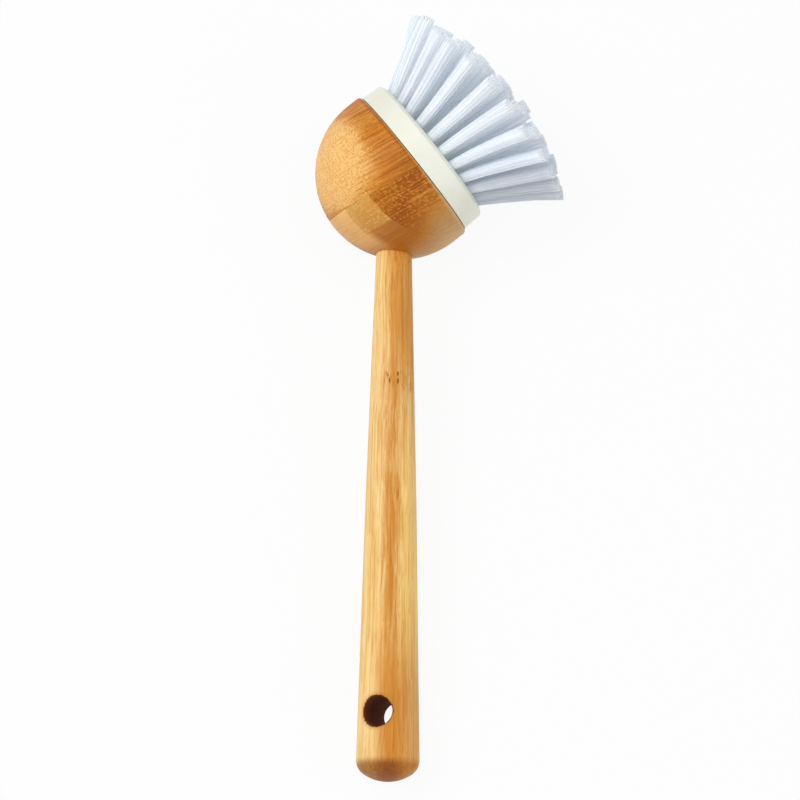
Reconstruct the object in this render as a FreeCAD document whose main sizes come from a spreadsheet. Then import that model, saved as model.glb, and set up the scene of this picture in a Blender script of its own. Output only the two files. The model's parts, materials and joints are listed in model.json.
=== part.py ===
"""Dish brush: a turned handle, a ball-shaped head block and a round bristle head that unscrews.

The head frame has its origin at the centre of the head block's ball and +Z along the head's axis, towards
the bristles. The handle frame has +Z along the handle, from the butt to the head. Both share their XZ plane,
which is the brush's plane of symmetry. The finished brush lies on its side on the plane z = 0.
Millimetres and degrees.
"""
import FreeCAD
import Part
import Sketcher
import math
import os
import re
from FreeCAD import Placement, Rotation, Vector

SIZES = [
    ("tuft_radius", "1.6", "tuft where it leaves the plate"),
    ("ring_gap", "2.1", "plastic between two rings of tufts, on the plate's face"),
    ("ring_growth", "6", "tufts that each ring has more than the ring inside it"),
    ("ring_margin", "4.8", "plate's edge beyond the outer ring's axes"),
    ("plate_inset", "1", "head block's rim beyond the plate's edge"),
    ("ball_skirt", "4.9", "flat face of the head block above the ball's centre"),
    ("rim_round", "1.2", "rounding of the head block's rim"),
    ("handle_slant", "52", "angle between the handle and the head's axis"),
    ("handle_setback", "1.9", "handle axis behind the ball's centre"),
    ("handle_length", "165.3", "handle from its shoulder to the butt's end"),
    ("butt_radius", "9.6", "handle at its butt"),
    ("neck_radius", "5.6", "handle where it meets the head block"),
    ("side_bulge", "0.27", "swelling of the handle's side between neck and butt"),
    ("butt_crown", "4.2", "height of the butt's domed end"),
    ("butt_round", "5.1", "rounding of the butt's corner"),
    ("neck_round", "0.6", "rounding of the neck's corner"),
    ("seat_sink", "1.3", "handle's shoulder below the ball's surface"),
    ("seat_clearance", "0.15", "room round the neck in its seat"),
    ("tenon_radius", "4", "handle's tenon"),
    ("tenon_length", "10", "handle's tenon beyond the shoulder"),
    ("glue_gap", "0.1", "glue film round the tenon and at its end"),
    ("hang_radius", "4.75", "hang hole"),
    ("hang_height", "20.4", "hang hole's axis from the butt end"),
    ("hang_turn", "12.5", "hang hole's axis from the square of the symmetry plane"),
    ("plate_draft", "0.35", "narrowing of the plate's band towards the bristles"),
    ("band_height", "6.6", "plate's upright band"),
    ("bevel_height", "1", "rise of the plate's sloping rim"),
    ("bevel_width", "1.9", "width of the plate's sloping rim"),
    ("crease_round", "0.8", "rounding between the plate's band and its sloping rim"),
    ("seam_gap", "0.2", "seam between the head block and the plate"),
    ("stud_radius", "7", "core of the plate's threaded stud"),
    ("stud_length", "8", "stud below the seam plane"),
    ("thread_pitch", "4", "rise of the thread in one turn"),
    ("ridge_height", "1.2", "thread ridge above the stud's core"),
    ("ridge_root", "2.2", "thread ridge's width at the core"),
    ("ridge_crest", "1", "thread ridge's width at its top"),
    ("ridge_sink", "0.3", "overlap of the ridge with the stud's core"),
    ("thread_clearance", "0.3", "room between the stud and its bore"),
    ("bore_spare", "2", "bore beyond the stud's end"),
    ("fan_depth", "37.5", "point where all tuft axes meet, below the plate's face"),
    ("trim_reach", "68.8", "bristle tips from that point, on the head's axis"),
    ("trim_radius", "96", "round that the bristle tips are trimmed to"),
    ("tip_radius", "2", "tuft at its trimmed tip"),
    ("hole_clearance", "0.05", "room round a tuft in its hole"),
    ("hole_depth", "4", "tuft hole along its axis"),
    ("staple_height", "1.5", "anchor staple along the tuft's axis"),
    ("staple_thickness", "0.35", "anchor staple's wire"),
    ("staple_gap", "0.05", "room under, over and at the ends of a staple"),
]
RINGS = {"first": 1, "second": 2, "third": 3, "outer": 4}
GROUPED_RINGS = ("first",)
OVERSHOOT = 5.0
TANGENT_ROUNDS = 12
CLOSE = 1e-4

doc = FreeCAD.newDocument("dish_brush")
sheet = doc.addObject("Spreadsheet::Sheet", "Sizes")
for row, (alias, number, meaning) in enumerate(SIZES, start=1):
    sheet.set(f"A{row}", meaning)
    sheet.set(f"B{row}", number)
    sheet.setAlias(f"B{row}", alias)
doc.recompute()


def sized(text):
    """Points every size that an expression names at the sheet."""
    return re.sub(r"\b([a-z]+_[a-z]+)\b", r"Sizes.\1", text)


def value(text):
    """Works an expression of sizes out as a plain number."""
    result = sheet.evalExpression(sized(text))
    return float(getattr(result, "Value", result))


def bind(item, **expressions):
    """Binds properties of an object to expressions of sizes."""
    for name, text in expressions.items():
        item.setExpression(name, sized(text))


def origin_part(body, role):
    """Finds one of a body's own origin planes or axes."""
    return next(part for part in body.Origin.OriginFeatures if part.Role == role)


def arc_through(start, end, radius):
    """Makes the shorter arc of a radius from start to end, turning to the left."""
    middle = (start + end) * 0.5
    half = (end - start).Length / 2
    across = Vector(start.y - end.y, end.x - start.x, 0).normalize()
    centre = middle + across * math.sqrt(max(radius * radius - half * half, 0.0))
    summit = centre - across * radius
    return Part.Arc(start, summit, end)


def profile(body, name, corners):
    """Draws a closed outline in a body's XZ plane.

    Each corner is (across, along) or (across, along, radius): expressions of its place and, where the side
    that leaves it is round, of that side's radius. A corner on the axis has None across.
    """
    sketch = body.newObject("Sketcher::SketchObject", name)
    sketch.AttachmentSupport = (origin_part(body, "XZ_Plane"), [""])
    sketch.MapMode = "FlatFace"
    spots = [Vector(value(c[0]) if c[0] else 0, value(c[1]), 0) for c in corners]
    for index, corner in enumerate(corners):
        start, end = spots[index], spots[(index + 1) % len(spots)]
        if len(corner) == 3:
            sketch.addGeometry(arc_through(start, end, value(corner[2])))
        else:
            sketch.addGeometry(Part.LineSegment(start, end))
    for index, corner in enumerate(corners):
        sketch.addConstraint(Sketcher.Constraint("Coincident", index, 2, (index + 1) % len(corners), 1))
        if corner[0]:
            across = sketch.addConstraint(Sketcher.Constraint("DistanceX", -1, 1, index, 1, spots[index].x))
            sketch.setExpression(f"Constraints[{across}]", sized(corner[0]))
        else:
            sketch.addConstraint(Sketcher.Constraint("PointOnObject", index, 1, -2))
        along = sketch.addConstraint(Sketcher.Constraint("DistanceY", -1, 1, index, 1, spots[index].y))
        sketch.setExpression(f"Constraints[{along}]", sized(corner[1]))
        if len(corner) == 3:
            bend = sketch.addConstraint(Sketcher.Constraint("Radius", index, value(corner[2])))
            sketch.setExpression(f"Constraints[{bend}]", sized(corner[2]))
    return sketch


def turned(label, corners):
    """Makes a body turned about its Z axis from an outline."""
    body = doc.addObject("PartDesign::Body", label)
    body.Label = label
    sketch = profile(body, f"{label}_outline", corners)
    turning = body.newObject("PartDesign::Revolution", f"{label}_turning")
    turning.Profile = sketch
    turning.ReferenceAxis = (sketch, ["V_Axis"])
    turning.Angle = 360
    doc.recompute()
    return body


def round_edge(body, name, radius, across, along):
    """Rounds the circular edge of a turned body that has this radius and height."""
    base = body.Tip
    chosen = []
    for index, edge in enumerate(base.Shape.Edges, start=1):
        box = edge.BoundBox
        wide = max(abs(box.XMin), abs(box.XMax))
        if box.ZLength < CLOSE and abs(box.ZMin - value(along)) < CLOSE and abs(wide - value(across)) < CLOSE:
            chosen.append(f"Edge{index}")
    fillet = body.newObject("PartDesign::Fillet", name)
    fillet.Base = (base, chosen)
    bind(fillet, Radius=radius)
    doc.recompute()


def drill(body, name, placement, radius, height):
    """Cuts a round hole into a body, from the placement's origin along its Z axis."""
    hole = body.newObject("PartDesign::SubtractiveCylinder", name)
    hole.Placement = placement
    bind(hole, Radius=radius, Height=height)
    doc.recompute()
    return hole


def repeat_round(body, feature, count):
    """Repeats a feature in equal steps round the body's Z axis."""
    pattern = body.newObject("PartDesign::PolarPattern", f"{feature.Name}_ring")
    pattern.Originals = [feature]
    pattern.Axis = (origin_part(body, "Z_Axis"), [""])
    pattern.Angle = 360
    bind(pattern, Occurrences=count)
    body.Tip = pattern
    doc.recompute()


def wind(body, kind, name, corners, height):
    """Winds an outline up the body's Z axis as a right-hand thread."""
    sketch = profile(body, f"{name}_outline", corners)
    thread = body.newObject(kind, name)
    thread.Profile = sketch
    thread.ReferenceAxis = (sketch, ["V_Axis"])
    thread.Mode = "pitch-height-angle"
    bind(thread, Pitch="thread_pitch", Height=height)
    doc.recompute()


def thread_outline(root, crest, middle, root_width, crest_width):
    """Gives the four corners of a thread's section between two radii."""
    return [
        (root, f"{middle} - ({root_width}) / 2"),
        (crest, f"{middle} - ({crest_width}) / 2"),
        (crest, f"{middle} + ({crest_width}) / 2"),
        (root, f"{middle} + ({root_width}) / 2"),
    ]


# Radii, heights and depths that several pieces share.
RING_STEP = "(2 * tuft_radius + ring_gap)"
PLATE = f"({RINGS['outer']} * {RING_STEP} + ring_margin)"
BALL = f"({PLATE} + plate_inset)"
SEAM = "(ball_skirt + seam_gap)"
FACE = "(ball_skirt + seam_gap + band_height + bevel_height)"
STUD_END = "(ball_skirt - stud_length)"
RIDGE_START = "(ball_skirt - stud_length + ridge_root / 2 + thread_clearance)"
RIDGE_RISE = f"(ball_skirt - ridge_root / 2 - thread_clearance - {RIDGE_START})"
RIDGE_TOP = "(stud_radius + ridge_height)"
NECK_SEAT = f"({BALL} - seat_sink)"
TENON_TIP = f"({NECK_SEAT} - tenon_length)"
BUTT_REACH = f"({NECK_SEAT} + handle_length)"
HOLE_RADIUS = "(tuft_radius + hole_clearance)"
TRIM_BACK = "(trim_radius - trim_reach)"

# The butt's crown is a ball cap, joined to the side by a round corner that is tangent to both.
CROWN_CURVE = "((butt_radius ^ 2 + butt_crown ^ 2) / (2 * butt_crown))"
CROWN_CENTRE = f"({BUTT_REACH} - {CROWN_CURVE})"
CORNER_OUT = "(butt_radius - butt_round)"
CORNER_DROP = f"((({CROWN_CURVE} - butt_round) ^ 2 - {CORNER_OUT} ^ 2) ^ 0.5)"
CORNER_REACH = f"({CROWN_CENTRE} + {CORNER_DROP})"
CROWN_SHARE = f"({CROWN_CURVE} / ({CROWN_CURVE} - butt_round))"
NECK_REACH = f"({NECK_SEAT} + neck_round)"

slant = value("handle_slant")
unturned = Rotation()
head_in_brush = Placement(Vector(0, 0, 0), Rotation(Vector(0, 1, 0), slant))
handle_in_brush = Placement(Vector(-value("handle_setback"), 0, 0), unturned)
handle_in_head = head_in_brush.inverse().multiply(handle_in_brush)


def down_handle(distance):
    """Gives the place on the handle's axis, in the head frame, that lies this far below the ball's centre."""
    return handle_in_head.multiply(Placement(Vector(0, 0, -distance), unturned))


def make_handle():
    """Turns the handle with its tenon and drills the hang hole."""
    body = turned("handle", [
        (None, f"-{BUTT_REACH}", CROWN_CURVE),
        (f"{CORNER_OUT} * {CROWN_SHARE}", f"-({CROWN_CENTRE} + {CORNER_DROP} * {CROWN_SHARE})", "butt_round"),
        ("butt_radius", f"-{CORNER_REACH}"),
        ("(butt_radius + neck_radius) / 2 + side_bulge", f"-({CORNER_REACH} + {NECK_REACH}) / 2"),
        ("neck_radius", f"-{NECK_REACH}", "neck_round"),
        ("neck_radius - neck_round", f"-{NECK_SEAT}"),
        ("tenon_radius", f"-{NECK_SEAT}"),
        ("tenon_radius", f"-{TENON_TIP}"),
        (None, f"-{TENON_TIP}"),
    ])
    turn = Rotation(Vector(0, 0, 1), -value("hang_turn"))
    across = turn.multiply(Rotation(Vector(1, 0, 0), 90))
    start = across.multVec(Vector(0, 0, -value("butt_radius") - OVERSHOOT))
    start.z = value(f"hang_height - {BUTT_REACH}")
    drill(body, "hang_hole", Placement(start, across), "hang_radius", f"2 * (butt_radius + {OVERSHOOT})")
    return body


def make_head_dome():
    """Turns the head block, bores it for the handle's tenon and cuts the thread for the plate's stud."""
    bore = "(stud_radius + thread_clearance)"
    bore_end = f"({STUD_END} - bore_spare)"
    body = turned("head_dome", [
        (None, f"-{BALL}", BALL),
        (BALL, "0"),
        (BALL, "ball_skirt"),
        (bore, "ball_skirt"),
        (bore, bore_end),
        (None, bore_end),
    ])
    round_edge(body, "rim", "rim_round", BALL, "ball_skirt")
    outside = value(BALL) + OVERSHOOT
    drill(body, "shoulder_seat", down_handle(outside), "neck_radius + seat_clearance",
          f"{BALL} + {OVERSHOOT} - {NECK_SEAT}")
    drill(body, "tenon_bore", down_handle(outside), "tenon_radius + glue_gap",
          f"{BALL} + {OVERSHOOT} - {TENON_TIP} + glue_gap")
    room = "2 * thread_clearance"
    wind(body, "PartDesign::SubtractiveHelix", "groove", thread_outline(
        f"-({bore} - ridge_sink)", f"-({RIDGE_TOP} + thread_clearance)",
        f"({RIDGE_START} - thread_pitch / 2)",
        f"ridge_root + {room}", f"ridge_crest + {room}"),
        f"{RIDGE_RISE} + thread_pitch * 2")
    return body


def ring_radius(ring):
    """Gives the expression of a ring's radius on the plate's face. The centre tuft has no ring."""
    return f"({RINGS[ring]} * {RING_STEP})" if ring else "0"


def tuft_axis(ring, angle):
    """Gives the place, in the head frame, where a tuft's axis crosses the plate's face, with Z along it."""
    radius = value(ring_radius(ring))
    lean = math.degrees(math.atan2(radius, value("fan_depth")))
    turn = Rotation(Vector(0, 0, 1), angle)
    tilt = turn.multiply(Rotation(Vector(0, 1, 0), lean))
    return Placement(turn.multVec(Vector(radius, 0, 0)) + Vector(0, 0, value(FACE)), tilt)


def along(placement, distance):
    """Moves a placement along its own Z axis."""
    return placement.multiply(Placement(Vector(0, 0, distance), unturned))


def make_brush_plate(first_angle):
    """Turns the bristle plate, drills its fans of tuft holes and winds the thread on its stud."""
    body = turned("brush_plate", [
        (None, STUD_END),
        ("stud_radius", STUD_END),
        ("stud_radius", SEAM),
        (PLATE, SEAM),
        (f"{PLATE} - plate_draft", f"{SEAM} + band_height"),
        (f"{PLATE} - plate_draft - bevel_width", FACE),
        (None, FACE),
    ])
    round_edge(body, "crease", "crease_round", f"{PLATE} - plate_draft", f"{SEAM} + band_height")
    depth = value("hole_depth")
    reach = f"hole_depth + {OVERSHOOT}"
    drill(body, "centre_hole", along(tuft_axis("", 0), -depth), HOLE_RADIUS, reach)
    for ring in RINGS:
        hole = drill(body, f"{ring}_hole", along(tuft_axis(ring, first_angle), -depth), HOLE_RADIUS, reach)
        repeat_round(body, hole, f"{RINGS[ring]} * ring_growth")
    wind(body, "PartDesign::AdditiveHelix", "ridge", thread_outline(
        "stud_radius - ridge_sink", RIDGE_TOP, RIDGE_START, "ridge_root", "ridge_crest"), RIDGE_RISE)
    return body


def tip_reach(ring):
    """Gives how far the tips of a ring's tufts are from the point where all tuft axes meet."""
    radius = ring_radius(ring)
    slope = f"((fan_depth ^ 2 + {radius} ^ 2) ^ 0.5)"
    across = f"({TRIM_BACK} * {radius} / {slope})"
    return f"((trim_radius ^ 2 - {across} ^ 2) ^ 0.5 - {TRIM_BACK} * fan_depth / {slope})"


def make_tuft(label, ring):
    """Makes one tuft: a straight shank in its hole and a flaring brush above, on its own Z axis."""
    radius = ring_radius(ring)
    rooted = "(hole_depth - staple_height - 2 * staple_gap)"
    mouth = f"({HOLE_RADIUS} * {radius} / fan_depth)"
    free = f"({tip_reach(ring)} - (fan_depth ^ 2 + {radius} ^ 2) ^ 0.5)"
    shank = doc.addObject("Part::Cylinder", f"{label}_shank")
    bind(shank, Radius="tuft_radius", Height=f"{rooted} + {mouth}")
    bind(shank, **{"Placement.Base.z": f"-{rooted}"})
    flare = doc.addObject("Part::Cone", f"{label}_flare")
    bind(flare, Radius1="tuft_radius", Radius2="tip_radius", Height=f"{free} - {mouth}")
    bind(flare, **{"Placement.Base.z": mouth})
    tuft = doc.addObject("Part::Fuse", label)
    tuft.Base = shank
    tuft.Tool = flare
    tuft.Label = label
    return tuft


def make_staple(label, place):
    """Makes the flat wire that holds one tuft at the bottom of its hole."""
    staple = doc.addObject("Part::Box", label)
    span = f"2 * ({HOLE_RADIUS} - staple_gap)"
    bind(staple, Length=span, Width="staple_thickness", Height="staple_height")
    centred = Vector(-value(span) / 2, -value("staple_thickness") / 2, -value("hole_depth - staple_gap"))
    staple.Placement = place.multiply(Placement(centred, unturned))
    return staple


def gather(label, members):
    """Groups separate solids under one name."""
    group = doc.addObject("Part::Compound", label)
    group.Label = label
    group.Links = members
    return group


def make_bristles(first_angle):
    """Makes every tuft and staple.

    Returns the tufts and groups with their places in the head frame.
    """
    placed = [(make_tuft("centre_tuft", ""), tuft_axis("", 0))]
    staples = [make_staple("centre_staple", tuft_axis("", 0))]
    for ring in RINGS:
        count = round(value(f"{RINGS[ring]} * ring_growth"))
        members = []
        for index in range(count):
            place = tuft_axis(ring, first_angle + 360 * index / count)
            tuft = make_tuft(f"{ring}_tuft_{index + 1:02d}", ring)
            staples.append(make_staple(f"{ring}_staple_{index + 1:02d}", place))
            if ring in GROUPED_RINGS:
                tuft.Placement = place
                members.append(tuft)
            else:
                placed.append((tuft, place))
        if members:
            placed.append((gather(f"{ring}_ring_tufts", members), Placement()))
    placed.append((gather("anchor_staples", staples), Placement()))
    return placed


def lying_pose():
    """Finds the rotation that lays the brush on its ball, its butt corner and two neighbouring outer tufts.

    Returns the rotation from the brush's frame and the angle of one of these tufts round the head's axis.
    """
    aside = math.pi / value(f"{RINGS['outer']} * ring_growth")
    lean = math.atan2(value(ring_radius("outer")), value("fan_depth"))
    reach, tip = value(tip_reach("outer")), value("tip_radius")
    tips_out = (reach * math.sin(lean) + tip * math.cos(lean)) * math.cos(aside)
    tips_up = value(f"{FACE} - fan_depth") + reach * math.cos(lean) - tip * math.sin(lean)
    ball = value(BALL)
    dip = math.acos(ball / math.hypot(tips_out, tips_up)) - math.atan2(tips_up, tips_out)
    gamma = math.radians(slant)
    roll = 0.0
    for _ in range(TANGENT_ROUNDS):
        down = head_in_brush.multVec(Vector(
            -math.cos(dip) * math.sin(roll), math.cos(dip) * math.cos(roll), -math.sin(dip)))
        rise = value(CORNER_OUT) * math.sqrt(1 - down.z ** 2) + value("butt_round") - ball
        rise = (rise - value("handle_setback") * down.x) / value(CORNER_REACH)
        roll = math.asin((rise + math.sin(dip) * math.cos(gamma)) / (math.cos(dip) * math.sin(gamma)))
    up = down * -1
    forward = Vector(0, 0, 1) - up * up.z
    forward.normalize()
    side = up.cross(forward)
    lie = Rotation(FreeCAD.Matrix(
        forward.x, forward.y, forward.z, 0, side.x, side.y, side.z, 0, up.x, up.y, up.z, 0, 0, 0, 0, 1))
    return lie, 90 + math.degrees(roll + aside)


lie_turn, lowest_tuft = lying_pose()
lie = Placement(Vector(0, 0, 0), lie_turn)
in_head = [(make_head_dome(), Placement()), (make_brush_plate(lowest_tuft), Placement())]
in_head += make_bristles(lowest_tuft)
pieces = [(make_handle(), lie.multiply(handle_in_brush))]
pieces += [(piece, lie.multiply(head_in_brush).multiply(place)) for piece, place in in_head]
for piece, place in pieces:
    piece.Placement = place
doc.recompute()

whole = FreeCAD.BoundBox()
for piece, place in pieces:
    whole.add(piece.Shape.optimalBoundingBox(False))
to_floor = Placement(Vector(-whole.Center.x, -whole.Center.y, -whole.ZMin), unturned)
for piece, place in pieces:
    piece.Placement = to_floor.multiply(place)
doc.recompute()

for item in doc.Objects:
    if "Invalid" in item.State or "Error" in item.State:
        raise RuntimeError(f"{item.Label} failed: {item.State}")
for piece, place in pieces:
    if piece.Shape.isNull() or not piece.Shape.isValid():
        raise RuntimeError(f"{piece.Label} has no sound shape")

os.makedirs("parts", exist_ok=True)
for piece, place in pieces:
    piece.Shape.exportStep(f"parts/{piece.Label}.step")
print(f"{len(pieces)} pieces, {whole.XLength:.2f} x {whole.YLength:.2f} x {whole.ZLength:.2f} mm")
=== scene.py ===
"""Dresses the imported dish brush: turned bamboo, cream plate, nylon filaments and a studio."""

import json
import logging
import math
from collections.abc import Callable
from dataclasses import dataclass
from enum import Enum

import bpy
import numpy as np
from bpy.types import Material, Node, NodeSocket as Socket, Object, World
from mathutils import Matrix, Vector


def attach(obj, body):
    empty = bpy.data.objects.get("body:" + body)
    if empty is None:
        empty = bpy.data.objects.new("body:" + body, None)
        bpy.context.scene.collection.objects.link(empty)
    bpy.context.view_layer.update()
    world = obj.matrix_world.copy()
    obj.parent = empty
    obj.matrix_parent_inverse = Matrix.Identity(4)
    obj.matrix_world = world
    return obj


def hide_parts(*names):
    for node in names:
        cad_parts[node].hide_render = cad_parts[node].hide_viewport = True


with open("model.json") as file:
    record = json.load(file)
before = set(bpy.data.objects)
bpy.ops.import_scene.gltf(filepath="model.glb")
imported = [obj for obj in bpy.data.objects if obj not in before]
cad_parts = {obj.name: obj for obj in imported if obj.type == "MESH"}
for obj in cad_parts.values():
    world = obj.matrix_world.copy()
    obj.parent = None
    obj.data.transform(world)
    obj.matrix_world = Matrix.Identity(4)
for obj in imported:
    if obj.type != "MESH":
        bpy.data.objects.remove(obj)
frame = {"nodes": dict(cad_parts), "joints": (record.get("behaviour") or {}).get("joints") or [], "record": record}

logging.basicConfig(level=logging.INFO)
LOG = logging.getLogger("dish_brush")

MM = 0.001
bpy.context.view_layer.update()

FIRST_SHADERS = ("ShaderNodeBsdfPrincipled", "ShaderNodeBackground")
NOISE_MEAN = 0.5

Colour = tuple[float, ...]
Triple = tuple[float, float, float]
Outline = list[tuple[float, float]]
Stops = tuple[tuple[float, Colour], ...]
Value = Socket | float | Colour


class Blend(Enum):
    """How one colour is laid over another."""

    COVER = "MIX"
    SHADE = "MULTIPLY"


class Ring(Enum):
    """The rings of tufts that have one CAD node per tuft, by the start of the node's name."""

    SECOND = "second_tuft_"
    THIRD = "third_tuft_"
    OUTER = "outer_tuft_"


def paint(red: float, green: float, blue: float) -> Colour:
    """Gives a shader colour for a display colour.

    Args:
        red, green, blue: the display colour, 0 to 255.

    Returns:
        The same colour in linear light, with full alpha.
    """
    linear = [(c / 12.92 if c <= 0.04045 else ((c + 0.055) / 1.055) ** 2.4)
              for c in (red / 255, green / 255, blue / 255)]
    return (*linear, 1.0)


def hang_hole() -> dict:
    """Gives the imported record's entry for the hang hole."""
    return next(m for m in frame["record"]["mounts"] if m["name"] == "hang_hole")


@dataclass(frozen=True)
class Fade:
    """A smooth step of a value: where it starts and ends, and what it gives there."""

    start: float
    end: float
    low: float = 0.0
    high: float = 1.0


@dataclass(frozen=True)
class Weave:
    """A noise pattern: waves per millimetre on each axis, finer layers, their strength and a reach."""

    stretch: Triple
    layers: float = 2.0
    rough: float = 0.5
    reach: float = 1.0


@dataclass(frozen=True)
class AxisFrame:
    """A place and two directions: X runs along the first, Y across it towards the second."""

    origin: Vector
    along: Vector
    across: Vector

    def turn(self) -> Matrix:
        """Works out the frame's axes.

        Returns:
            The rotation that brings them to X, Y and Z.
        """
        x = self.along.normalized()
        y = (self.across - x * self.across.dot(x)).normalized()
        return Matrix((x, y, x.cross(y)))


@dataclass(frozen=True)
class BrushFrame:
    """The brush's own frame: from the ball's centre, X along the head's axis, Y away from the handle."""

    origin: Vector
    turn: Matrix

    @classmethod
    def from_record(cls, ball_skirt: float = 4.9) -> "BrushFrame":
        """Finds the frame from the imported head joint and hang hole.

        Args:
            ball_skirt: the joint's height above the ball's centre, in millimetres.

        Returns:
            The frame.
        """
        screw = next(j for j in frame["joints"] if j["name"] == "head_unscrew")
        head = Vector(screw["axis"]).normalized()
        origin = Vector(screw["pos_m"]) - head * ball_skirt * MM
        out = origin - Vector(hang_hole()["pos_m"])
        return cls(origin, AxisFrame(origin, head, out).turn().transposed())

    def direction(self, x: float, y: float, z: float) -> Vector:
        """Turns a direction of the brush into one of the row."""
        return (self.turn @ Vector((x, y, z))).normalized()

    def point(self, x: float, y: float, z: float) -> Vector:
        """Gives the place in the row of a point of the brush in millimetres."""
        return self.origin + self.turn @ Vector((x, y, z)) * MM


class Graph:
    """The shader nodes of one finish, added in reading order."""

    def __init__(self, owner: Material | World) -> None:
        """Starts the nodes of a new material or world.

        Args:
            owner: the material or world, which brings its own first shader.
        """
        owner.use_nodes = True
        self.owner = owner
        self.tree = owner.node_tree
        self.shader = next(n for n in self.tree.nodes if n.bl_idname in FIRST_SHADERS)

    def feed(self, socket: Socket, value: Value) -> None:
        """Links a socket to another one, or sets its value.

        Args:
            socket: the socket that is fed.
            value: the other socket or the value.
        """
        if isinstance(value, Socket):
            self.tree.links.new(value, socket)
        else:
            socket.default_value = value

    def add(self, kind: str, inputs: dict[str | int, Value] | None = None, **settings: object) -> Node:
        """Adds a shader node.

        Args:
            kind: the end of its type's name.
            inputs: what its inputs are fed, by name or number.
            settings: its options.

        Returns:
            The node.
        """
        node = self.tree.nodes.new("ShaderNode" + kind)
        for key, value in settings.items():
            setattr(node, key, value)
        for key, value in (inputs or {}).items():
            self.feed(node.inputs[key], value)
        return node

    def finish(self, **inputs: Value) -> Material | World:
        """Feeds the first shader by socket name, an underscore for each space, and gives its owner."""
        for name, value in inputs.items():
            self.feed(self.shader.inputs[name.replace("_", " ")], value)
        return self.owner

    def place(self, at: AxisFrame) -> Socket:
        """Reads the surface point in a pattern's frame.

        Args:
            at: the frame.

        Returns:
            The point, in millimetres.
        """
        turn = at.turn()
        inputs = {"Location": -(turn @ at.origin) / MM, "Rotation": turn.to_euler(), "Scale": (1 / MM,) * 3,
                  "Vector": self.add("TexCoord").outputs["Object"]}
        return self.add("Mapping", inputs, vector_type="POINT").outputs["Vector"]

    def calc(self, operation: str, a: Value, b: Value = 0.0) -> Socket:
        """Gives the result of a sum on one or two numbers."""
        return self.add("Math", {0: a, 1: b}, operation=operation).outputs[0]

    def times(self, first: Value, *others: Value) -> Value:
        """Gives the product of some numbers."""
        for other in others:
            first = self.calc("MULTIPLY", first, other)
        return first

    def minus(self, a: Value, b: Value) -> Socket:
        """Gives one number less another."""
        return self.calc("SUBTRACT", a, b)

    def apart(self, a: Value, b: Value) -> Socket:
        """Gives the distance between two numbers."""
        return self.calc("ABSOLUTE", self.minus(a, b))

    def vector(self, operation: str, a: Value, b: Value) -> Socket:
        """Gives the result of a sum on two vectors."""
        node = self.add("VectorMath", {0: a, 1: b}, operation=operation)
        return node.outputs["Value" if operation == "DOT_PRODUCT" else "Vector"]

    def axes(self, point: Value) -> tuple[Socket, ...]:
        """Splits a point into its X, Y and Z."""
        return tuple(self.add("SeparateXYZ", {0: point}).outputs)

    def noise(self, point: Value, weave: Weave, colour: bool = False) -> Socket:
        """Gives soft noise about NOISE_MEAN at a point in millimetres, as one value or as three."""
        inputs = {"Vector": self.vector("MULTIPLY", point, weave.stretch), "Scale": 1.0,
                  "Detail": weave.layers, "Roughness": weave.rough}
        return self.add("TexNoise", inputs).outputs["Color" if colour else "Fac"]

    def drift(self, point: Value, weave: Weave) -> Socket:
        """Gives noise about zero, times its reach."""
        return self.times(self.minus(self.noise(point, weave), NOISE_MEAN), weave.reach)

    def swayed(self, point: Value, weave: Weave) -> Socket:
        """Moves a point across the fibres by noise, so that they wave."""
        sway = self.vector("SUBTRACT", self.noise(point, weave, colour=True), (NOISE_MEAN,) * 3)
        return self.vector("ADD", point, self.vector("MULTIPLY", sway, (0.0, weave.reach, weave.reach)))

    def cells(self, point: Value, scale: float = 1.0, flat: bool = False) -> tuple[Socket, Socket]:
        """Gives the distance to the nearest scattered point, in spacings, and its chance value."""
        node = self.add("TexVoronoi", {"Vector": point, "Scale": scale},
                        voronoi_dimensions="2D" if flat else "3D")
        return node.outputs["Distance"], self.axes(node.outputs["Color"])[0]

    def fade(self, value: Value, step: Fade) -> Socket:
        """Goes smoothly from a step's low to its high while a value crosses it."""
        inputs = {"Value": value, "From Min": step.start, "From Max": step.end,
                  "To Min": step.low, "To Max": step.high}
        return self.add("MapRange", inputs, interpolation_type="SMOOTHSTEP").outputs["Result"]

    def where(self, *steps: tuple[Value, Fade]) -> Value:
        """Gives the product of the fades of some values."""
        return self.times(*(self.fade(value, step) for value, step in steps))

    def ramp(self, value: Value, stops: Stops) -> Socket:
        """Gives the colour of a value on a scale of colours.

        Args:
            value: the value, 0 to 1.
            stops: the colours, each with its place on the scale.

        Returns:
            The colour.
        """
        node = self.add("ValToRGB", {"Fac": value})
        elements = node.color_ramp.elements
        while len(elements) < len(stops):
            elements.new(0.5)
        for element, (position, colour) in zip(elements, stops):
            element.position = position
            element.color = colour
        return node.outputs["Color"]

    def blend(self, share: Value, under: Value, over: Value, how: Blend = Blend.COVER) -> Socket:
        """Lays one colour over another.

        Args:
            share: how much of the upper colour shows, 0 to 1.
            under: the lower colour.
            over: the upper colour.
            how: the way it is laid on.

        Returns:
            The mixed colour.
        """
        node = self.add("Mix", {0: share}, data_type="RGBA", blend_type=how.value)
        for socket, colour in zip((s for s in node.inputs if s.type == "RGBA"), (under, over)):
            self.feed(socket, colour)
        return next(s for s in node.outputs if s.type == "RGBA")

    def coats(self, colour: Value, *layers: tuple[Value, Value]) -> Value:
        """Covers a colour with others in turn, each with its share."""
        for share, over in layers:
            colour = self.blend(share, colour, over)
        return colour

    def bump(self, height: Value, depth: float, strength: float) -> Socket:
        """Gives a normal that follows a height, whose full step has a depth in millimetres."""
        inputs = {"Strength": strength, "Distance": depth * MM, "Height": height}
        return self.add("Bump", inputs).outputs["Normal"]

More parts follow.
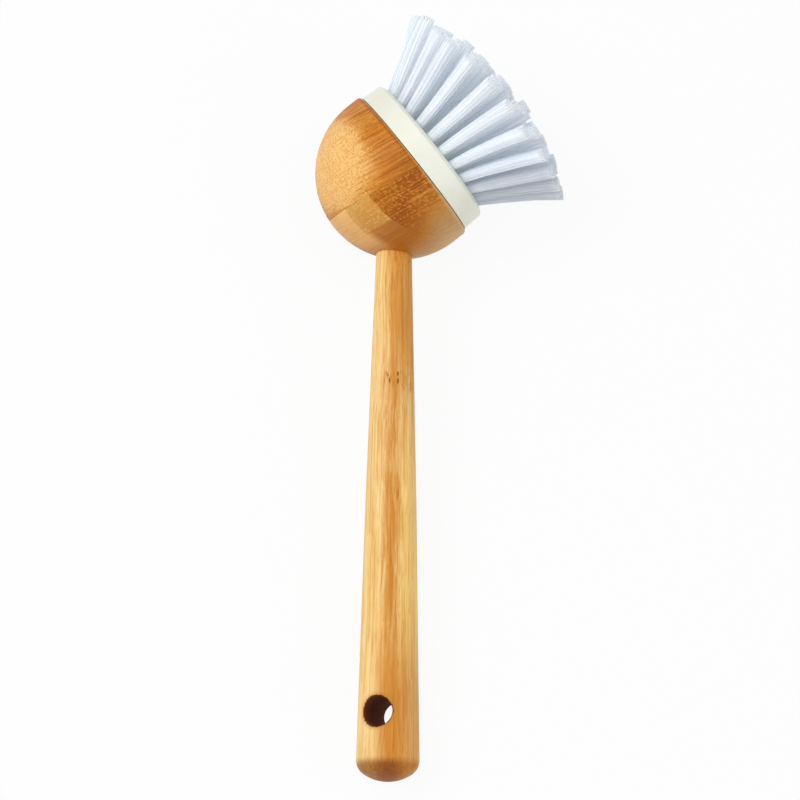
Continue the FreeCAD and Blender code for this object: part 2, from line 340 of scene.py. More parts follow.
    def attribute(self, name: str) -> Socket:
        """Reads a number that the mesh carries."""
        return self.add("Attribute", attribute_name=name).outputs["Fac"]


@dataclass(frozen=True)
class HandleBamboo:
    """Pale bamboo along a turned stick: wavy fibres, flame tongues, a node mark and a bore that is darker brown
    inside.
    """

    gold: Colour = paint(230, 172, 84)
    honey: Colour = paint(243, 196, 112)
    pale: Colour = paint(254, 221, 152)
    glow: Colour = paint(255, 215, 128)
    peach: Colour = paint(244, 200, 134)
    flame: Colour = paint(208, 134, 32)
    fibre: Colour = paint(186, 120, 48)
    streak: Colour = paint(236, 210, 172)
    fleck: Colour = paint(136, 76, 26)
    bark: Colour = paint(170, 100, 36)
    # Darker brown inside the hang hole.
    bore_dark_brown: Colour = paint(122, 58, 18)
    cap: Colour = paint(178, 146, 104)
    cap_light: Colour = paint(222, 192, 124)

    sway: Weave = Weave((0.05, 0.14, 0.14), reach=2.0)
    bands: Weave = Weave((0.006, 0.32, 0.32))
    band_scale: Stops = ((0.34, gold), (0.45, honey), (0.54, pale), (0.62, peach), (0.72, honey))
    fleece: Weave = Weave((0.2, 2.2, 2.2), 2.0, 0.6)
    fleece_gold: Fade = Fade(0.48, 0.74, 0.0, 0.7)
    fleece_pale: Fade = Fade(0.46, 0.26, 0.0, 0.6)
    streaks: Weave = Weave((0.008, 1.5, 1.5), 3.0, 0.6)
    streak_shade: Fade = Fade(0.47, 0.7, 0.0, 0.85)
    fine: Weave = Weave((0.018, 3.4, 3.4), 2.0, 0.6)
    fine_shade: Fade = Fade(0.48, 0.74, 0.0, 0.8)

    left_side: Fade = Fade(1.5, 6.0, 0.0, 0.5)
    right_side: Fade = Fade(-1.5, -4.0, 0.0, 0.6)
    right_from: Fade = Fade(-70.0, -100.0)
    right_to: Fade = Fade(-165.0, -145.0)
    neck_tint: Fade = Fade(-95.0, -45.0, 0.0, 0.7)
    neck_side: Fade = Fade(2.2, -1.2)
    butt_tint: Fade = Fade(-135.0, -170.0, 0.0, 0.84)
    butt_left: Fade = Fade(6.5, 0.5)
    butt_right: Fade = Fade(-7.5, -2.0, 0.68, 1.0)

    wander: Weave = Weave((0.03, 0.0, 0.0), reach=4.0)
    tongues: Weave = Weave((0.05, 0.9, 0.9), 3.0, 0.65, reach=8.0)
    flame_half: float = 2.1
    flame_edge: Fade = Fade(-2.4, 2.2)
    flame_front: Fade = Fade(0.0, 3.0)
    breaks: Weave = Weave((0.08, 0.9, 0.9), 3.0)
    broken: Fade = Fade(0.34, 0.62, 0.45, 0.95)

    node_at: float = -68.2
    node_edge: Fade = Fade(3.4, 1.2)
    node_side: float = -1.9
    node_width: Fade = Fade(4.8, 3.6)
    node_faint: float = 0.15
    ripple: Weave = Weave((0.0, 0.4, 0.4), reach=6.0)
    mark_cells: Triple = (0.34, 1.1, 1.1)
    mark_edge: Fade = Fade(0.5, 0.22)
    mark_chance: Fade = Fade(0.1, 0.3, 0.0, 0.7)
    node_tint: Fade = Fade(0.4, 0.6, 0.0, 0.4)
    spot_edge: Fade = Fade(0.36, 0.18)
    spot_chance: Fade = Fade(0.25, 0.4, 0.0, 0.85)

    cap_edge: Fade = Fade(-183.8, -186.6)
    cap_side: Fade = Fade(0.0, -6.0)
    bore_radius: float = 4.75
    bore_frayed: Fade = Fade(0.3, 0.7, -0.34, 0.1)
    bore_rim: Fade = Fade(1.5, 0.2, 0.0, 0.35)
    bore_inside: Fade = Fade(0.18, 0.0)

    fleece_height: float = 0.5
    bump: tuple[float, float] = (0.12, 0.4)
    rough: Fade = Fade(0.3, 0.7, 0.44, 0.56)
    bore_rough: float = 0.35
    gloss: float = 0.25

    def make(self, stick: AxisFrame, bore: AxisFrame) -> Material:
        """Builds the finish.

        Args:
            stick: the frame of the stick, X towards the head.
            bore: the frame of the hang hole, X along it.

        Returns:
            The material.
        """
        g = Graph(bpy.data.materials.new("handle_bamboo"))
        point = g.place(stick)
        x, y, z = g.axes(point)
        grain = g.swayed(point, self.sway)
        fleece, streaks, fine = (g.noise(grain, weave) for weave in (self.fleece, self.streaks, self.fine))
        cap = g.fade(x, self.cap_edge)

        neck = g.where((x, self.neck_tint), (y, self.neck_side))
        butt = g.where((x, self.butt_tint), (y, self.butt_left), (y, self.butt_right))
        aside = g.apart(y, g.drift(point, self.wander))
        tongues = g.drift(grain, self.tongues)
        core = g.minus(g.calc("ADD", tongues, self.flame_half), aside)
        flame = g.where((core, self.flame_edge), (g.noise(grain, self.breaks), self.broken),
                        (z, self.flame_front))
        colour = g.coats(
            g.ramp(g.noise(grain, self.bands), self.band_scale),
            (g.fade(fleece, self.fleece_gold), self.gold),
            (g.fade(fleece, self.fleece_pale), self.pale),
            (g.fade(y, self.left_side), self.pale),
            (g.where((y, self.right_side), (x, self.right_from), (x, self.right_to)), self.glow),
            (g.calc("MAXIMUM", neck, butt), self.flame),
            (g.times(flame, g.minus(1.0, cap)), self.flame))
        colour = g.blend(g.fade(streaks, self.streak_shade), colour, self.streak, Blend.SHADE)
        colour = g.blend(g.fade(fine, self.fine_shade), colour, self.streak, Blend.SHADE)

        ripple = g.drift(point, self.ripple)
        from_node = g.calc("ABSOLUTE", g.calc("ADD", g.minus(x, self.node_at), ripple))
        beside = g.fade(g.apart(y, self.node_side), self.node_width)
        in_node = g.times(g.fade(from_node, self.node_edge), g.calc("MAXIMUM", beside, self.node_faint))
        near, chance = g.cells(g.vector("MULTIPLY", grain, self.mark_cells))
        marks = g.times(in_node, g.where((near, self.mark_edge), (chance, self.mark_chance)))
        spots = g.times(in_node, g.where((near, self.spot_edge), (chance, self.spot_chance)))
        colour = g.coats(colour, (g.times(in_node, g.fade(fleece, self.node_tint)), self.flame),
                         (marks, self.bark), (spots, self.fleck))
        cap_shade = g.blend(g.fade(y, self.cap_side), self.cap, self.cap_light)
        colour = g.blend(cap, colour, cap_shade, Blend.SHADE)

        _, bore_y, bore_z = g.axes(g.place(bore))
        away = g.calc("SQRT", g.calc("ADD", g.times(bore_y, bore_y), g.times(bore_z, bore_z)))
        edge = g.calc("ADD", g.minus(away, self.bore_radius), g.fade(fine, self.bore_frayed))
        # The colour turns darker brown inside the hang hole.
        inside = g.fade(edge, self.bore_inside)
        colour = g.coats(colour, (g.fade(edge, self.bore_rim), self.fibre), (inside, self.bore_dark_brown))
        height = g.minus(g.calc("ADD", fine, g.times(fleece, self.fleece_height)), spots)
        rough = g.calc("ADD", g.fade(streaks, self.rough), g.times(inside, self.bore_rough))
        return g.finish(Base_Color=colour, Roughness=rough, Specular_IOR_Level=self.gloss,
                        Normal=g.bump(height, *self.bump))


@dataclass(frozen=True)
class DomeBamboo:
    """Laminated bamboo turned to a ball: pale fibre ends, streaked amber flanks, strips and glue lines, with
    painted light making the side towards the key lamp paler.
    """

    scale: Stops = (
        (0.0, paint(212, 168, 112)), (0.2, paint(196, 148, 92)), (0.33, paint(192, 126, 50)),
        (0.43, paint(178, 103, 20)), (0.6, paint(166, 90, 10)), (0.72, paint(188, 108, 16)),
        (0.78, paint(197, 118, 24)), (0.847, paint(217, 150, 64)), (0.913, paint(245, 193, 116)),
        (0.967, paint(251, 199, 121)))
    heart: Colour = paint(152, 76, 8)
    sap: Colour = paint(208, 152, 70)
    curl: Colour = paint(240, 190, 106)
    fawn: Colour = paint(248, 196, 126)
    pore: Colour = paint(214, 124, 32)
    streak: Colour = paint(228, 202, 160)
    pith: Colour = paint(232, 164, 68)
    glue: Colour = paint(112, 56, 12)

    strip_width: float = 10.0
    strip_depth: float = 10.6
    width_start: float = -2.4
    depth_start: float = -1.7
    sway: Weave = Weave((0.05, 0.15, 0.15), reach=0.9)
    bands: Weave = Weave((0.02, 0.25, 0.06))
    strands: Weave = Weave((0.015, 1.9, 0.12), 3.0, 0.6)
    dashes: Weave = Weave((0.3, 1.5, 1.5), 3.0, 0.65)
    curls: Weave = Weave((0.9, 1.4, 1.4), 3.0, 0.6)

    rim_shift: Fade = Fade(-0.3, -0.05, 0.0, 0.085)
    strand_shift: Fade = Fade(0.3, 0.7, 0.035, -0.035)
    dash_shift: Fade = Fade(0.3, 0.7, 0.05, -0.05)
    scale_below: float = 0.5
    scale_length: float = 1.5

    heart_column: float = -1.5
    heart_edge: Fade = Fade(-1.8, -1.1)
    heart_facing: Fade = Fade(0.0, 0.4, 0.0, 0.52)
    light_side: Fade = Fade(-0.3, 0.1, 0.14, 0.75)
    light_facing: Fade = Fade(0.1, 0.55)
    sap_strip: float = -1.0
    sap_share: float = 0.6
    curl_share: Fade = Fade(0.5, 0.65, 0.0, 0.6)

    pores_per_mm: float = 1.35
    pore_edge: Fade = Fade(0.5, 0.18)
    pore_chance: Fade = Fade(0.15, 0.7)
    pore_facing: Fade = Fade(0.6, 0.85, 0.1, 0.6)
    heart_pores: float = 0.42
    flank_facing: Fade = Fade(0.95, 0.75, 0.2, 1.0)
    flank_plain: Fade = Fade(0.0, 1.0, 1.0, 0.35)
    flank_dark: Fade = Fade(0.5, 0.7)
    flank_light: Fade = Fade(0.48, 0.28, 0.0, 0.5)

    joint_edge: Fade = Fade(0.16, 0.04, 0.0, 0.22)
    first_edge: Fade = Fade(0.2, 0.05)
    first_facing: Fade = Fade(0.5, 0.75, 0.1, 0.6)
    glue_broken: Fade = Fade(0.36, 0.52, 0.2, 1.0)

    pore_depth: float = 0.25
    bump: tuple[float, float] = (0.1, 0.3)
    rough: Fade = Fade(0.3, 0.7, 0.38, 0.5)
    gloss: float = 0.18

    def make(self, block: AxisFrame, end_grain_and_lit_side: Vector, head: Vector) -> Material:
        """Builds the finish.

        Args:
            block: the frame of the laminated block, X along the fibres.
            end_grain_and_lit_side: the direction that the palest end grain faces, which is also the side towards
                the key lamp and is painted lighter.
            head: the direction of the head's axis.

        Returns:
            The material.
        """
        g = Graph(bpy.data.materials.new("dome_bamboo"))
        grain = g.swayed(g.place(block), self.sway)
        _, y, z = g.axes(grain)
        across = g.calc("DIVIDE", g.minus(y, self.width_start), self.strip_width)
        through = g.calc("DIVIDE", g.minus(z, self.depth_start), self.strip_depth)
        row, column = g.calc("FLOOR", across), g.calc("FLOOR", through)
        normal = g.add("NewGeometry").outputs["Normal"]
        # Painted light: facing grows towards the pale end grain, which is set towards the key lamp, so the colour
        # scale and the marks that follow it are partly painted light.
        facing = g.vector("DOT_PRODUCT", normal, tuple(end_grain_and_lit_side))
        to_rim = g.vector("DOT_PRODUCT", normal, tuple(head))
        strands = g.noise(grain, self.strands)
        shift = g.calc("ADD", g.fade(strands, self.strand_shift),
                       g.fade(g.noise(grain, self.dashes), self.dash_shift))
        lit = g.calc("ADD", g.minus(facing, g.fade(to_rim, self.rim_shift)), shift)

        below = g.calc("LESS_THAN", across, 0.0)
        heart = g.times(below, g.calc("LESS_THAN", column, self.heart_column),
                        g.fade(across, self.heart_edge))
        plain = g.minus(below, heart)
        light = g.times(plain, g.where((through, self.light_side), (facing, self.light_facing)))
        sap = g.times(*(g.calc("COMPARE", strip, self.sap_strip) for strip in (row, column)))
        section = g.add("CombineXYZ", {0: y, 1: z}).outputs[0]
        near, chance = g.cells(section, self.pores_per_mm, flat=True)
        dots = g.where((near, self.pore_edge), (chance, self.pore_chance))
        pores = g.times(dots, g.minus(1.0, below))
        colour = g.coats(
            g.ramp(g.calc("DIVIDE", g.calc("ADD", lit, self.scale_below), self.scale_length), self.scale),
            (g.times(heart, g.fade(facing, self.heart_facing)), self.heart),
            (light, self.fawn),
            (g.times(sap, self.sap_share), self.sap),
            (g.times(sap, g.fade(g.noise(grain, self.curls), self.curl_share)), self.curl),
            (g.times(dots, heart, self.heart_pores), self.pith),
            (g.times(pores, g.fade(facing, self.pore_facing)), self.pore))

        flank = g.where((facing, self.flank_facing), (plain, self.flank_plain))
        from_joint = g.calc("MINIMUM", g.times(g.calc("PINGPONG", across, 0.5), self.strip_width),
                            g.times(g.calc("PINGPONG", through, 0.5), self.strip_depth))
        first = g.where((g.apart(y, self.width_start), self.first_edge), (facing, self.first_facing))
        glue = g.calc("MAXIMUM", g.fade(from_joint, self.joint_edge), first)
        colour = g.blend(g.times(flank, g.fade(strands, self.flank_dark)), colour, self.streak, Blend.SHADE)
        colour = g.coats(colour, (g.times(flank, g.fade(strands, self.flank_light)), self.pith),
                         (g.times(glue, g.fade(strands, self.glue_broken)), self.glue))
        height = g.minus(strands, g.times(pores, self.pore_depth))
        return g.finish(Base_Color=colour, Roughness=g.fade(g.noise(grain, self.bands), self.rough),
                        Normal=g.bump(height, *self.bump), Specular_IOR_Level=self.gloss)


@dataclass(frozen=True)
class CreamPlastic:
    """Satin moulded plastic with a faint mould texture."""

    body: Colour = paint(240, 241, 227)
    warm: Colour = paint(236, 235, 217)
    cloud: Weave = Weave((0.08, 0.08, 0.08))
    cloud_share: Fade = Fade(0.35, 0.7)
    pores: Weave = Weave((3.0, 3.0, 3.0))
    rough: Fade = Fade(0.3, 0.7, 0.3, 0.42)
    bump: tuple[float, float] = (0.03, 0.25)
    glow: float = 0.12
    glow_depth: float = 1.5

    def make(self, plate: AxisFrame) -> Material:
        """Builds the finish.

        Args:
            plate: the frame of the plate.

        Returns:
            The material.
        """
        g = Graph(bpy.data.materials.new("cream_plastic"))
        point = g.place(plate)
        pores = g.noise(point, self.pores)
        colour = g.blend(g.fade(g.noise(point, self.cloud), self.cloud_share), self.body, self.warm)
        return g.finish(Base_Color=colour, Roughness=g.fade(pores, self.rough),
                        Normal=g.bump(pores, *self.bump),
                        Subsurface_Weight=self.glow, Subsurface_Scale=self.glow_depth * MM)


@dataclass(frozen=True)
class NylonFilament:
    """Cool white nylon: each filament has its own tone, cooler at the root and paler at the trimmed end; tufts on
    the lean side carry painted shade in grey tones, and a faint painted glow stands in for light through the
    nylon.
    """

    # Painted shade: tufts on the side the fan leans to, which faces away from the key lamp, are pulled towards
    # this grey.
    painted_shade_grey: Colour = paint(208, 210, 217)
    shade: Colour = paint(232, 239, 247)
    body: Colour = paint(242, 247, 252)
    bright: Colour = paint(250, 252, 254)
    root: Colour = paint(238, 244, 250)
    tones: Stops = ((0.0, painted_shade_grey), (0.3, shade), (0.65, body), (1.0, bright))
    root_share: Fade = Fade(0.35, 0.05, 0.0, 0.6)
    tip_share: Fade = Fade(0.9, 1.0, 0.0, 0.5)
    grit: Weave = Weave((9.0, 9.0, 9.0))
    rough: Fade = Fade(0.3, 0.7, 0.4, 0.52)
    gloss: float = 0.35
    # Painted glow: a faint emission in this colour stands in for light shining through the nylon and lifts the
    # shade between tufts.
    through: Colour = paint(222, 238, 250)
    painted_glow_strength: float = 0.06

    def make(self) -> Material:
        """Builds the finish from the tone and reach that each filament carries.

        Returns:
            The material.
        """
        g = Graph(bpy.data.materials.new("nylon_bristle"))
        tone, reach = g.attribute("tone"), g.attribute("reach")
        colour = g.coats(g.ramp(tone, self.tones), (g.fade(reach, self.root_share), self.root),
                         (g.fade(reach, self.tip_share), self.bright))
        # The emission is a painted glow, not a lamp.
        return g.finish(Base_Color=colour, Roughness=g.fade(g.noise(tone, self.grit), self.rough),
                        Specular_IOR_Level=self.gloss, Emission_Color=self.through,
                        Emission_Strength=self.painted_glow_strength)


@dataclass(frozen=True)
class StapleWire:
    """Bright drawn wire with fine draw marks."""

    steel: Colour = paint(204, 202, 196)
    dull: Colour = paint(176, 172, 164)
    marks: Weave = Weave((8.0, 8.0, 0.8))
    dull_share: Fade = Fade(0.35, 0.65)
    rough: Fade = Fade(0.3, 0.7, 0.25, 0.4)

    def make(self, plate: AxisFrame) -> Material:
        """Builds the finish.

        Args:
            plate: the frame of the plate.

        Returns:
            The material.
        """
        g = Graph(bpy.data.materials.new("staple_wire"))
        marks = g.noise(g.place(plate), self.marks)
        colour = g.blend(g.fade(marks, self.dull_share), self.steel, self.dull)
        return g.finish(Base_Color=colour, Metallic=1.0, Roughness=g.fade(marks, self.rough))


def only(obj: Object) -> None:
    """Makes an object the only selected and active one."""
    bpy.ops.object.select_all(action="DESELECT")
    obj.select_set(True)
    bpy.context.view_layer.objects.active = obj


def switch(mode: str) -> None:
    """Puts the active object in a mode."""
    bpy.ops.object.mode_set(mode=mode)


def pick_faces(obj: Object, test: Callable[[Vector], bool]) -> None:
    """Selects some of a mesh's faces and leaves it in edit mode.

    Args:
        obj: the mesh's object.
        test: tells from a face's middle whether it is selected.
    """
    only(obj)
    switch("EDIT")
    bpy.ops.mesh.select_mode(type="FACE")
    bpy.ops.mesh.select_all(action="DESELECT")
    switch("OBJECT")
    for face in obj.data.polygons:
        face.select = test(face.center)
    switch("EDIT")


def arc(centre: tuple[float, float], radius: float, start: float, end: float, steps: int) -> Outline:
    """Gives the points of a round corner, from one angle to another, in radians from away from the axis."""
    return [(centre[0] + radius * math.cos(a), centre[1] + radius * math.sin(a))
            for a in np.linspace(start, end, steps + 1)]


def lathe(name: str, outline: Outline, sides: int) -> Object:
    """Turns an outline about Z by extruding and scaling a circle.

    Args:
        name: the new object's name.
        outline: distances from the axis and heights, from one end to the other.
        sides: how many sides the circle has.

    Returns:
        The closed piece.
    """
    radius, height = outline[0]
    bpy.ops.mesh.primitive_circle_add(vertices=sides, radius=radius, location=(0, 0, height),
                                      fill_type="NGON")
    piece = bpy.context.object
    piece.name = name
    bpy.ops.object.transform_apply(location=True)
    switch("EDIT")
    bpy.ops.mesh.select_all(action="SELECT")
    for next_radius, next_height in outline[1:]:
        rise = (0, 0, next_height - height)
        bpy.ops.mesh.extrude_region_move(TRANSFORM_OT_translate={"value": rise})
        share = next_radius / radius
        bpy.ops.transform.resize(value=(share, share, 1), center_override=(0, 0, next_height))
        radius, height = next_radius, next_height
    bpy.ops.mesh.select_all(action="SELECT")
    bpy.ops.mesh.normals_make_consistent(inside=False)
    switch("OBJECT")
    return piece


def upright_to(axis: Vector) -> Matrix:
    """Gives the rotation that turns Z to an axis."""
    return Vector((0, 0, 1)).rotation_difference(axis).to_matrix().to_4x4()


def dress(piece: Object, finish: Material) -> None:
    """Gives a piece its one finish."""
    piece.data.materials.clear()
    piece.data.materials.append(finish)


@dataclass
class HandleStick:
    """The turned handle with its crowned butt, tapered side, tenon and hang hole, in millimetres."""

    brush: BrushFrame
    bore: AxisFrame
    body: str = "handle_and_block"
    slant: float = 52.0
    setback: float = 1.9
    left: Triple = (-0.763, 0.6, 0.226)
    butt_reach: float = 191.0
    butt_radius: float = 9.6
    butt_crown: float = 4.2
    butt_round: float = 5.1
    side_bulge: float = 0.27
    neck_radius: float = 5.6
    neck_round: float = 0.6
    neck_seat: float = 25.7
    tenon_radius: float = 4.0
    tenon_tip: float = 15.7
    hang_radius: float = 4.75
    lip_width: float = 0.5
    lip_depth: float = 0.22
    lip_share: float = 0.8
    pole_radius: float = 0.1
    sides: int = 96
    station: float = 1.6
    crown_steps: int = 14
    corner_steps: int = 8
    neck_steps: int = 5
    drill_length: float = 28.8
    fine_margin: float = 2.5
    fine_cuts: int = 4
    smooth_angle: float = 38.0

    def __post_init__(self) -> None:
        """Works out the stick's direction and the point of its axis beside the ball's centre."""
        lean = math.radians(self.slant)
        self.along = self.brush.direction(math.cos(lean), math.sin(lean), 0)
        self.foot = self.brush.point(-self.setback * math.sin(lean), self.setback * math.cos(lean), 0)

    def outline(self) -> Outline:
        """Works out the stick's outline.

        Returns:
            Distances from the axis and heights, from the butt's tip to the tenon's end.
        """
        crown = (self.butt_radius ** 2 + self.butt_crown ** 2) / (2 * self.butt_crown)
        crown_middle = crown - self.butt_reach
        corner_out = self.butt_radius - self.butt_round
        corner_drop = math.sqrt((crown - self.butt_round) ** 2 - corner_out ** 2)
        corner = -math.atan2(corner_drop, corner_out)
        corner_middle = crown_middle - corner_drop
        pole = -math.acos(self.pole_radius / crown)
        points = arc((0, crown_middle), crown, pole, corner, self.crown_steps)
        points += arc((corner_out, corner_middle), self.butt_round, corner, 0, self.corner_steps)[1:]
        neck_start = -self.neck_seat - self.neck_round
        count = int((neck_start - corner_middle) / self.station)
        middle = (self.butt_radius + self.neck_radius) / 2 + self.side_bulge
        radii = self.butt_radius, middle, self.neck_radius
        for share in np.linspace(0, 1, count + 1)[1:]:
            height = corner_middle + (neck_start - corner_middle) * share
            points.append((np.interp(share, (0, 0.5, 1), radii), height))
        neck_middle = (self.neck_radius - self.neck_round, neck_start)
        points += arc(neck_middle, self.neck_round, 0, math.pi / 2, self.neck_steps)[1:]
        points += [(self.tenon_radius, -self.neck_seat), (self.tenon_radius, -self.tenon_tip)]
        return points

    def off_bore(self, point: Vector) -> float:
        """Gives a point's distance from the hang hole's axis, in millimetres."""
        offset = point - self.bore.origin
        return (offset - self.bore.along * offset.dot(self.bore.along)).length / MM

    def build(self) -> Object:
        """Turns the stick, puts it in its place, drills it and softens the hole's edge.

        Returns:
            The handle.
        """
        stick = lathe("handle_stick", [(r * MM, h * MM) for r, h in self.outline()], self.sides)
        stick.data.transform(Matrix.Translation(self.foot) @ upright_to(self.along))
        pick_faces(stick, lambda p: self.off_bore(p) < self.hang_radius + self.fine_margin)
        bpy.ops.mesh.subdivide(number_cuts=self.fine_cuts)
        switch("OBJECT")

        bpy.ops.mesh.primitive_cylinder_add(vertices=self.sides, radius=self.hang_radius * MM,
                                            depth=self.drill_length * MM)
        drill = bpy.context.object
        drill.data.transform(Matrix.Translation(self.bore.origin) @ upright_to(self.bore.along))
        only(stick)
        cut = stick.modifiers.new("hang_hole", "BOOLEAN")
        cut.object = drill
        cut.solver = "EXACT"
        bpy.ops.object.modifier_apply(modifier=cut.name)
        bpy.data.objects.remove(drill)

        for vertex in stick.data.vertices:
            off = vertex.co - self.foot
            out = off - self.along * off.dot(self.along)
            near = (self.off_bore(vertex.co) - self.hang_radius) / self.lip_width
            if near < 1 and out.length > self.lip_share * self.butt_radius * MM:
                vertex.co -= out.normalized() * self.lip_depth * MM * (1 - max(near, 0.0)) ** 2
        bpy.ops.object.shade_smooth_by_angle(angle=math.radians(self.smooth_angle))
        return stick

    def dress(self, stick: Object) -> None:
        """Gives the handle its bamboo and joins it to its body.

        Args:
            stick: the handle.
        """
        grain = AxisFrame(self.foot, self.along, self.brush.direction(*self.left))
        dress(stick, HandleBamboo(bore_radius=self.hang_radius).make(grain, self.bore))
        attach(stick, self.body)
        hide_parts("handle")


@dataclass
class HeadBlock:
    """The laminated ball on the handle's end."""

    brush: BrushFrame
    fibres: Triple = (-0.805, -0.024, 0.593)
    strips: Triple = (0.176, 0.944, 0.277)
    # Palest end grain, turned towards the key lamp so that this side is also painted lighter.
    end_grain_and_lit_side: Triple = (-0.601, 0.417, 0.682)

    def dress(self) -> None:
        """Gives the dome its laminated bamboo."""
        towards = self.brush.direction
        block = AxisFrame(self.brush.origin, towards(*self.fibres), towards(*self.strips))
        finish = DomeBamboo().make(block, towards(*self.end_grain_and_lit_side), towards(1, 0, 0))
        dress(frame["nodes"]["head_dome"], finish)


@dataclass
class BristlePlate:
    """The moulded plate and the staples that hold its tufts."""

    brush: BrushFrame

    def dress(self) -> None:
        """Gives the plate its plastic and the staples their wire."""
        plate = AxisFrame(self.brush.origin, self.brush.direction(1, 0, 0), self.brush.direction(0, 1, 0))
        dress(frame["nodes"]["brush_plate"], CreamPlastic().make(plate))
        dress(frame["nodes"]["anchor_staples"], StapleWire().make(plate))


@dataclass(frozen=True)
class Shape:
    """A small mesh that is modelled once and copied."""

    points: np.ndarray
    faces: list[tuple[int, ...]]


@dataclass
class BristleFan:
    """The tufts: bundles of nylon filaments that fan out from a point behind the plate, in millimetres."""

    brush: BrushFrame
    fan_depth: float = 37.5
    face_height: float = 12.7
    trim_reach: float = 68.8
    trim_radius: float = 96.0
    root_radius: float = 1.5
    root_stray: float = 0.06
    tip_radius: float = 2.15
    root_sink: float = 3.0
    filament_radius: float = 0.125
    thickness: tuple[float, float] = (0.9, 1.08)
    filaments: int = 120
    filament_sides: int = 5
    heart_sides: int = 14
    heart_share: float = 0.95
    heart_short: float = 0.4
    heart_tone: float = 0.4
    stray: float = 0.16
    bow: float = 0.12
    wander: float = 0.4
    ragged: float = 0.13
    flare: float = 1.35
    lean_side: Triple = (0.0, -0.96, -0.282)
    lean_far: float = 0.35
    lean_change: float = -3.7
    lean_curve: float = 1.6
    worn: float = 3.5
    # Painted shade: how far a tuft turns to the lean side before it greys, and how low its tones then drop.
    painted_shade_lean: tuple[float, float] = (0.16, 0.4)
    painted_shade_tone: float = 0.15
    white_tone: float = 0.3
    ring_of_six: int = 6
    seed: int = 417
    cuts: tuple[float, ...] = (0.35, 0.7, 0.988)
    heart_cuts: tuple[float, ...] = (0.25, 0.5, 0.75, 0.96)
    tip_share: float = 0.55
    tip_faces: float = 0.999
    body: str = "bristle_head"
    centre_body: str = "screw_travel"

    def __post_init__(self) -> None:
        """Works out where the tufts point and lean to, and makes what they are copied from."""
        self.axis = self.brush.direction(1, 0, 0)
        self.meeting_point = self.brush.point(self.face_height - self.fan_depth, 0, 0)
        self.lean = self.brush.direction(*self.lean_side)
        self.strand = self.rod(self.filament_sides, self.cuts)
        self.heart = self.rod(self.heart_sides, self.heart_cuts)
        self.finish = NylonFilament().make()

    def rod(self, sides: int, cuts: tuple[float, ...]) -> Shape:
        """Models a rod of unit radius and length, cut across, with a narrowed tip.

        Args:
            sides: how many sides it has.
            cuts: the heights of the cuts.

        Returns:
            The rod.
        """
        bpy.ops.mesh.primitive_cylinder_add(vertices=sides, radius=1, depth=1, location=(0, 0, 0.5))
        strand = bpy.context.object
        bpy.ops.object.transform_apply(location=True)
        switch("EDIT")
        for height in cuts:
            bpy.ops.mesh.select_all(action="SELECT")
            bpy.ops.mesh.bisect(plane_co=(0, 0, height), plane_no=(0, 0, 1))
        switch("OBJECT")
        pick_faces(strand, lambda p: p.z > self.tip_faces)
        bpy.ops.transform.resize(value=(self.tip_share, self.tip_share, 1), center_override=(0, 0, 1))
        switch("OBJECT")
        shape = Shape(np.array([v.co for v in strand.data.vertices]),
                      [tuple(p.vertices) for p in strand.data.polygons])
        bpy.data.objects.remove(strand)
        return shape

    def trim(self, lean: float) -> float:
        """Gives the reach from the meeting point to the round of the tips, for a tuft at a lean."""
        back = self.trim_radius - self.trim_reach
        return math.sqrt(self.trim_radius ** 2 - (back * math.sin(lean)) ** 2) - back * math.cos(lean)

    def bundle(self, direction: Vector, draw: np.random.Generator) -> tuple[np.ndarray, ...]:
        """Lays a tuft's filaments out round its packed heart.

        Args:
            direction: the tuft's direction.
            draw: the source of its small differences.

        Returns:
            The points, the tone and the reach of each, for the heart and then the filaments in turn.
        """
        side = direction.orthogonal().normalized()
        other = direction.cross(side)
        tuft_axes = np.array([side, other, direction])
        index = np.arange(self.filaments)
        share = np.sqrt((index + 0.5) / self.filaments)
        angle = index * math.pi * (3 - math.sqrt(5)) + draw.uniform(0, math.tau)
        spread = np.stack([share * np.cos(angle), share * np.sin(angle)], axis=1)
        far = self.lean_far - self.lean_change * direction.dot(self.lean)
        sway = np.array([side.dot(self.lean), other.dot(self.lean)]) * far + draw.normal(0, self.wander, 2)
        bend = draw.normal(0, self.wander / 2, 2)
        root = spread * self.root_radius + draw.normal(0, self.root_stray, spread.shape)
        tip = spread * self.tip_radius + draw.normal(0, self.stray, spread.shape)
        bends = draw.normal(0, self.bow, spread.shape) + bend
        start = self.fan_depth / direction.dot(self.axis) - self.root_sink
        trim = self.trim(direction.angle(self.axis)) + draw.normal(0, self.wander)
        trim += self.worn * min(0.0, direction.dot(self.lean))
        end = trim - (tip ** 2).sum(1) / (2 * trim) - np.abs(draw.normal(0, self.ragged, self.filaments))
        thick = self.filament_radius * draw.uniform(*self.thickness, self.filaments)

        def bent(reach: np.ndarray, from_axis: np.ndarray, curve: np.ndarray) -> np.ndarray:
            """Bends points that lie round the tuft's straight axis."""
            swing = (reach ** self.lean_curve)[..., None]
            return from_axis + sway * swing + curve * (4 * reach * (1 - reach))[..., None]

        level = self.heart.points[:, 2]
        wide = self.root_radius + (self.tip_radius - self.root_radius) * level ** self.flare
        inside = bent(level, self.heart.points[:, :2] * (self.heart_share * wide)[:, None], bend)
        inside = np.column_stack([inside, start + (trim - self.heart_short - start) * level])

        reach = self.strand.points[None, :, 2]
        opened = (reach ** self.flare)[..., None]
        middle = root[:, None] * (1 - opened) + tip[:, None] * opened
        middle = middle + self.strand.points[None, :, :2] * thick[:, None, None]
        outside = bent(np.broadcast_to(reach, middle.shape[:2]), middle, bends[:, None])
        height = start + (end[:, None] - start) * reach
        outside = np.concatenate([outside, height[..., None]], axis=2).reshape(-1, 3)

